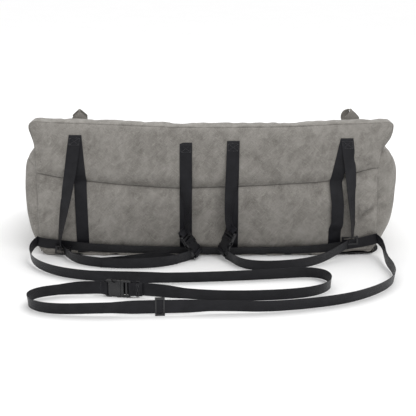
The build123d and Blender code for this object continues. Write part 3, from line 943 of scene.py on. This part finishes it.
def nurbs_line(points, resolution=14):
    """The smooth line of a NURBS spline with these control points, in metres."""
    data = bpy.data.curves.new("route", "CURVE")
    data.dimensions = "3D"
    data.resolution_u = resolution
    spline = data.splines.new("NURBS")
    spline.points.add(len(points) - 1)
    for control, place in zip(spline.points, points):
        control.co = (place[0] * MM, place[1] * MM, place[2] * MM, 1)
    spline.order_u = 3
    spline.use_endpoint_u = True
    obj = bpy.data.objects.new("route", data)
    scene.collection.objects.link(obj)
    mesh = bpy.data.meshes.new_from_object(obj)
    line = np.array([v.co for v in mesh.vertices])
    bpy.data.objects.remove(obj)
    bpy.data.meshes.remove(mesh)
    bpy.data.curves.remove(data)
    return line


def arc_length(line):
    return np.concatenate([[0], np.cumsum(np.linalg.norm(np.diff(line, axis=0), axis=1))])


def unit(vectors):
    return vectors / np.maximum(np.linalg.norm(vectors, axis=1, keepdims=True), 1e-12)


def smoothed(values, times):
    """Running average along a line, with its ends kept."""
    values = np.array(values, float)
    for _ in range(times):
        values[1:-1] = (values[:-2] + 2 * values[1:-1] + values[2:]) / 4
    return values


def band_mesh(line, across, width, thick):
    """Points, faces and UVs in metres of flat webbing along a line, its width along across."""
    line, across = np.asarray(line, float), np.asarray(across, float)
    tangents = unit(np.gradient(line, axis=0))
    across = unit(across - (across * tangents).sum(axis=1, keepdims=True) * tangents)
    normals = np.cross(tangents, across)
    widths = np.broadcast_to(np.asarray(width, float), (len(line),))
    section = np.array(SELVAGE)
    side = across[:, None, :] * (section[None, :, 0, None] * widths[:, None, None] * MM)
    rise = normals[:, None, :] * (section[None, :, 1, None] * thick * MM)
    points = (line[:, None, :] + side + rise).reshape(-1, 3)
    arc = arc_length(line)
    uvs = np.column_stack([np.tile(section[:, 0], len(line)) * np.repeat(widths, len(section)) * MM,
                           np.repeat(arc, len(section))])
    count = len(section)
    faces = []
    for ring in range(len(line) - 1):
        for i in range(count):
            j = (i + 1) % count
            a, b = ring * count, (ring + 1) * count
            faces.append((a + i, a + j, b + j, b + i))
    last = (len(line) - 1) * count
    half = count // 2
    for start, flip in ((0, False), (last, True)):
        for i in range(half - 1):
            quad = [start + i, start + i + 1, start + count - 1 - i - 1, start + count - 1 - i]
            if i == 0:
                quad = [start, start + 1, start + count - 1]
                faces.append(quad[::-1] if not flip else quad)
                quad = [start + 1, start + 2, start + count - 2, start + count - 1]
            elif i < half - 1:
                quad = [start + i + 1, start + i + 2, start + count - i - 2, start + count - i - 1]
            faces.append(quad[::-1] if not flip else quad)
    return points, faces, uvs


def ribbon(name, line, across, body="root", width=WEB, thick=WEB_T, material=None):
    points, faces, uvs = band_mesh(line, across, width, thick)
    return make(name, points, faces, material or WEBBING, body, uvs)


def standing_across(line, lean, upright_at=()):
    """Width direction of webbing on its edge: its top leans to -Y, but stands upright at hardware."""
    tangents = unit(np.gradient(line, axis=0))
    left = unit(np.column_stack([-tangents[:, 1], tangents[:, 0], np.zeros(len(line))]))
    facing = smoothed(np.clip(-left[:, 1] * 1.6, -1, 1), 60)
    angle = np.radians(lean) * facing
    for place in upright_at:
        distance = np.linalg.norm(line[:, :2] / MM - np.array(place), axis=1)
        angle = angle * np.clip((distance - 70) / 60, 0, 1)
    up = np.array([0, 0, 1.0])
    across = up * np.cos(angle)[:, None] + left * np.sin(angle)[:, None]
    return unit(across)


def on_floor(line, across):
    """Lift a line where its webbing would pass into the floor."""
    line = line.copy()
    lowest = np.abs(across[:, 2]) * WEB / 2 * MM + 0.0008
    line[:, 2] = np.maximum(line[:, 2], smoothed(lowest, 3))
    return line


def free_strap(name, node, route, lean=20.0, upright_at=()):
    """Loose webbing that stands on its edge on the floor."""
    line = nurbs_line(route)
    across = standing_across(line, lean, upright_at)
    line = on_floor(line, across)
    strap = ribbon(name, line, across)
    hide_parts(node)
    return strap


def build_hanging():
    """The four layers that hang from folds on the back panel, turning as they fall."""
    for name, route in HANGING.items():
        line = nurbs_line([point[:3] for point in route])
        arc = arc_length(line)
        steps = arc_length(np.array([point[:3] for point in route], float))
        turn = np.radians(np.interp(arc / arc[-1], steps / steps[-1], [point[3] for point in route]))
        turn = smoothed(turn, 12)
        across = np.column_stack([np.cos(turn), -np.sin(turn), np.zeros(len(turn))])
        top = line[0]
        fold = np.array([top + (0, 0.0070, -0.0085), top + (0, 0.0062, -0.0030), top + (0, 0.0044, 0.0000),
                         top + (0, 0.0020, 0.0008), top + (0, 0.0004, -0.0005)])
        whole = np.concatenate([fold, line[1:]])
        sides = np.concatenate([np.tile(across[0], (len(fold), 1)), across[1:]])
        strap = ribbon(f"hanging_webbing_{name}", whole, sides, None if name in PLUG_OF else "root")
        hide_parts(f"hanging_strap_{name}")
        if name in PLUG_OF:
            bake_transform(strap)


def surface_y(tree, x, z, reach=15.0):
    """Rear face of the back panel at x and z, at its outermost across a strap."""
    hits = []
    for offset in (-reach, 0.0, reach):
        hit = tree.ray_cast(Vector(((x + offset) * MM, -0.5, z * MM)), Vector((0, 1, 0)))[0]
        if hit is not None:
            hits.append(hit.y / MM)
    return min(hits) if hits else BACK_LO[1]


def build_stitched(tree):
    """Vertical straps sewn to the back panel, held down at the quilting seam."""
    for name, (x_seam, x_low) in STITCHED_X.items():
        x_top, z_top = FOLD_TOP[name]
        z_seam = float(follow(SEAM_Z, np.array([float(x_seam)]))[0])
        heights = np.concatenate([np.linspace(z_top - 3, z_seam + 2, 20), np.linspace(z_seam - 2, 9, 32)])
        xs = np.interp(-heights, [-z_top, -z_seam, 0], [x_top, x_seam, x_low])
        ys = np.array([surface_y(tree, x, z) for x, z in zip(xs, heights)])
        ys = smoothed(ys, 2) - 1.0
        if name == "outer_right":
            bow = np.clip((heights - 88) / 20, 0, 1) * np.clip((z_seam - 12 - heights) / 60, 0, 1)
            ys -= 9.0 * bow
            xs += 6.0 * bow
        line = np.column_stack([xs, ys, heights]) * MM
        across = np.tile((1.0, 0, 0), (len(line), 1))
        strap = ribbon(f"sewn_webbing_{name}", line, across)
        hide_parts(f"stitched_strap_{name}")


def build_horizontal(tree):
    """Strap along the foot of the back panel, over the vertical ones."""
    xs = spaced(-541, 521, 8.0)
    middle = follow(FOOT_Z, xs)
    tilt = np.radians(follow(FOOT_TILT, xs))
    ys = []
    for x, z in zip(xs, middle):
        ys.append(min(surface_y(tree, x, z, 2.0), FOOT_Y + 6))
    beside = np.maximum(bell(xs + 459, 45.0), bell(xs - 433, 45.0))
    ys = smoothed(np.minimum(ys, FOOT_Y) + ADJUSTER_CLEAR * beside, 6)
    line = np.column_stack([xs, ys, middle]) * MM
    across = np.column_stack([np.zeros(len(xs)), -np.sin(tilt), np.cos(tilt)])
    strap = ribbon("horizontal_webbing", line, across)
    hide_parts("horizontal_strap")


def build_floor_webbing():
    hardware = (BUCKLE_PLACES["belt"][0][:2], (-225, -652), KEEPER, GLIDE_PLACES["belt"][0][:2])
    free_strap("belt_right", "belt_webbing_right", BELT_RIGHT, upright_at=hardware)
    free_strap("belt_left", "belt_webbing_left", BELT_LEFT, upright_at=hardware)
    free_strap("floor_strap_left", "floor_loop_left", LOOP_LEFT)
    free_strap("floor_strap_tail", "floor_loop_tail_left", TAIL_LEFT)
    free_strap("floor_strap_right", "floor_loop_right", LOOP_RIGHT)


# ---- Carry loops, underside, zip --------------------------------------------------------
def stitch(start, end, outward):
    """One raised stitch between two points: a slim six-sided bead."""
    start, end, outward = Vector(start), Vector(end), Vector(outward)
    along = (end - start).normalized()
    side = along.cross(outward).normalized() * 0.00045
    up = outward.normalized() * 0.0005
    points = [start - up, end - up]
    for share in (0.3, 0.7):
        middle = start.lerp(end, share)
        points.extend([middle + side, middle + up, middle - side, middle - up])
    faces = []
    for i in range(4):
        j = (i + 1) % 4
        faces.extend([[0, 2 + j, 2 + i], [2 + i, 2 + j, 6 + j, 6 + i], [1, 6 + i, 6 + j]])
    return points, faces


def box_stitching(name, centre, across, down, body="root", wide=30.0, tall=22.0, pitch=4.0):
    """Box of stitches with crossed diagonals, as webbing is sewn down."""
    across, down = Vector(across).normalized() * MM, Vector(down).normalized() * MM
    outward = across.cross(down)
    half_w, half_t = wide / 2, tall / 2
    corners = [(-half_w, -half_t), (half_w, -half_t), (half_w, half_t), (-half_w, half_t)]
    runs = [(corners[i], corners[(i + 1) % 4]) for i in range(4)] + [(corners[0], corners[2]), (corners[1], corners[3])]
    parts = []
    for (u0, v0), (u1, v1) in runs:
        count = max(1, round(math.hypot(u1 - u0, v1 - v0) / pitch))
        for number in range(count):
            a, b = (number + 0.12) / count, (number + 0.88) / count
            ends = [Vector(centre) + across * (u0 + (u1 - u0) * s) + down * (v0 + (v1 - v0) * s) for s in (a, b)]
            parts.append(stitch(*ends, outward))
    points, faces = merge(parts)
    return make(name, np.array(points), faces, BLACK_THREAD, body)


def build_stitching():
    """Sewn boxes at the folded tops of the hanging webbing and beside the belt's buckle."""
    for name, (x, z) in FOLD_TOP.items():
        route = HANGING[name]
        lower = Vector((route[1][0] - route[0][0], route[1][1] - route[0][1], route[1][2] - route[0][2])).normalized()
        centre = Vector((x, route[0][1], z)) * MM + lower * 0.018 + Vector((0, -0.0013, 0))
        box_stitching(f"fold_stitches_{name}", centre, (1, 0, 0), lower)
    at = hardware_frame(BUCKLE_PLACES["belt"])
    turn = at.to_3x3()
    for name, along, body in (("socket", -17.0, "root"), ("plug", 91.0, "buckle_plug_belt")):
        centre = at @ Vector((along * MM, 0, 2.5 * MM))
        box_stitching(f"belt_stitches_{name}", centre, turn @ Vector((0, 1, 0)), turn @ Vector((-1, 0, 0)), body,
                      tall=9.0)


def hardware_frame(place):
    """Matrix of a moulded part in metres: local X along the webbing, Y its width, Z its thickness."""
    (x, y, z), tilt, roll, yaw = place
    turn = Matrix.Rotation(math.radians(yaw), 4, "Z") @ Matrix.Rotation(math.radians(tilt), 4, "Y")
    return Matrix.Translation((x * MM, y * MM, z * MM)) @ turn @ Matrix.Rotation(math.radians(roll + 90), 4, "X")


def folded_webbing(name, frame_matrix, section, body):
    """Webbing folded round a bar: section is its line as (along, through) points in the part's own frame."""
    local = nurbs_line([(along, 0, through) for along, through in section], 8)
    line = np.array([frame_matrix @ Vector(p) for p in local])
    wide = frame_matrix.to_3x3() @ Vector((0, 1, 0))
    strap = ribbon(name, line, np.tile(wide, (len(line), 1)), body)
    return strap


def socket_fold(tail):
    """Webbing round a socket's bar at along 0 to 4 and back through its slot; both layers end at -tail."""
    over = [(-tail, 1.0), (-0.5 * tail, 1.3), (-7, 3.6), (-1.5, 6.9), (4, 7.6), (6.6, 3.5)]
    return over + [(along, -through) for along, through in reversed(over)]


def plug_fold(tail):
    """Webbing round a plug's bar at along 68 to 72 and back through its slot."""
    over = [(76 + tail, 1.0), (76 + 0.5 * tail, 1.3), (79, 3.4), (74, 6.2), (68, 6.8), (65.2, 3.0)]
    return over + [(along, -through) for along, through in reversed(over)]


def build_folds():
    for name, place in BUCKLE_PLACES.items():
        at = hardware_frame(place)
        socket_tail, plug_tail = (30.0, 28.0) if name == "belt" else (10.0, 12.0)
        folded_webbing(f"socket_fold_{name}", at, socket_fold(socket_tail), "root")
        folded_webbing(f"plug_fold_{name}", at, plug_fold(plug_tail), f"buckle_plug_{name}")


def build_carry_loops():
    """Strips of the cover cloth folded up behind the top edge, pinched at their tops."""
    foot, apex = 400.0, 446.0
    for name, x, lean, pinch in (("left", LOOP_X[0], 0.0, 6.0), ("right", LOOP_X[1], -17.0, 8.0)):
        route = ((x, -209, foot), (x, -208.5, foot + 20), (x, -207, apex - 10), (x + 0.2 * lean, -203, apex + 4),
                 (x + 0.7 * lean, -196, apex + 2), (x + lean, -192, apex - 12), (x + 0.5 * lean, -190, foot + 20),
                 (x, -190, foot))
        line = nurbs_line(route, 8)
        run = arc_length(line) / arc_length(line)[-1]
        width = pinch + (46.0 - pinch) * np.clip((np.abs(run - 0.47) - 0.06) / 0.18, 0, 1)
        turn = np.radians(-2.0 * lean) * np.clip((run - 0.5) / 0.3, 0, 1) * np.clip((1 - run) / 0.2, 0, 1)
        across = np.column_stack([np.cos(turn), np.sin(turn), np.zeros(len(turn))])
        loop = ribbon(f"carry_strip_{name}", line, across, f"carry_loop_{name}", width, CLOTH_T, SUEDE)
        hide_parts(f"carry_loop_{name}")


def build_underside():
    """Felt sheet with rubber dots; its rear right corner curls up with the panel above it."""
    xs, ys = spaced(-536, 536, 12.0), np.concatenate([[-276, -273, -269, -264], spaced(-258, 268, 13.0)])
    half_x, corner = 536.0, 80.0

    def place(x, y, z):
        inner_x = np.clip(x, -half_x + corner, half_x - corner)
        inner_y = np.clip(y, -276 + corner, 268 - corner)
        out_x, out_y = x - inner_x, y - inner_y
        length = np.maximum(np.hypot(out_x, out_y), 1e-9)
        scale = np.maximum(np.abs(out_x), np.abs(out_y)) / length
        new_x, new_y = inner_x + out_x * scale, inner_y + out_y * scale
        lift = follow(BOTTOM_Z, new_x) - 4.5
        curl = np.clip((-256 - new_y) / 20, 0, 1) ** 1.5
        return np.column_stack([new_x, new_y, z + lift * curl])

    points, faces, _ = lattice(xs, ys, np.array([1.2, 3.9]))
    sheet = make("underside_felt", place(*points.T) * MM, faces, FELT)
    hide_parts("non_slip_base")
    dots = []
    for row, y in enumerate(np.arange(-262, 262, 13.0)):
        for x in np.arange(-525 + (row % 2) * 6.5, 525, 13.0):
            centre = place(np.array([x]), np.array([y]), np.array([1.3]))[0]
            dots.append(dome(centre, 2.6, 1.25))
    points, faces = merge(dots)
    rubber = make("underside_dots", np.array(points) * MM, faces, RUBBER)
    return rubber


def dome(centre, radius, height):
    """Small round bead that stands down from a surface."""
    points, faces = [], []
    around = 8
    for ring, (r, drop) in enumerate(((1.0, 0.0), (0.86, 0.6), (0.5, 0.93))):
        for i in range(around):
            angle = 2 * math.pi * i / around
            points.append((centre[0] + radius * r * math.cos(angle), centre[1] + radius * r * math.sin(angle),
                           centre[2] - height * drop))
        if ring:
            for i in range(around):
                j = (i + 1) % around
                a, b = (ring - 1) * around, ring * around
                faces.append([a + j, a + i, b + i, b + j])
    points.append((centre[0], centre[1], centre[2] - height))
    tip = len(points) - 1
    a = 2 * around
    faces.extend([a + (i + 1) % around, a + i, tip] for i in range(around))
    faces.append(list(range(around)))
    return points, faces


def build_hardware():
    """Buckles and adjusters keep their CAD shape, with small bevels and moulded plastic."""
    for name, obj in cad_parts.items():
        if name.startswith(("buckle_", "adjuster_")):
            obj.data.materials.clear()
            obj.data.materials.append(PLASTIC)
            bevel = obj.modifiers.new("Bevel", "BEVEL")
            bevel.width = 0.0008
            bevel.segments = 2
            bevel.limit_method = "ANGLE"
        elif name in ("strap_keeper", "cushion_zip_tape"):
            obj.data.materials.clear()
            obj.data.materials.append(TAPE)
        elif name == "cushion_zip_slider":
            obj.data.materials.clear()
            obj.data.materials.append(ZIP_METAL)


build_camera()
build_stage()
back_panel, seat_cushion = build_pads()
panel_tree = BVHTree.FromObject(back_panel, bpy.context.evaluated_depsgraph_get())
build_stitched(panel_tree)
build_horizontal(panel_tree)
build_hanging()
build_floor_webbing()
build_folds()
build_stitching()
build_carry_loops()
build_underside()
build_hardware()
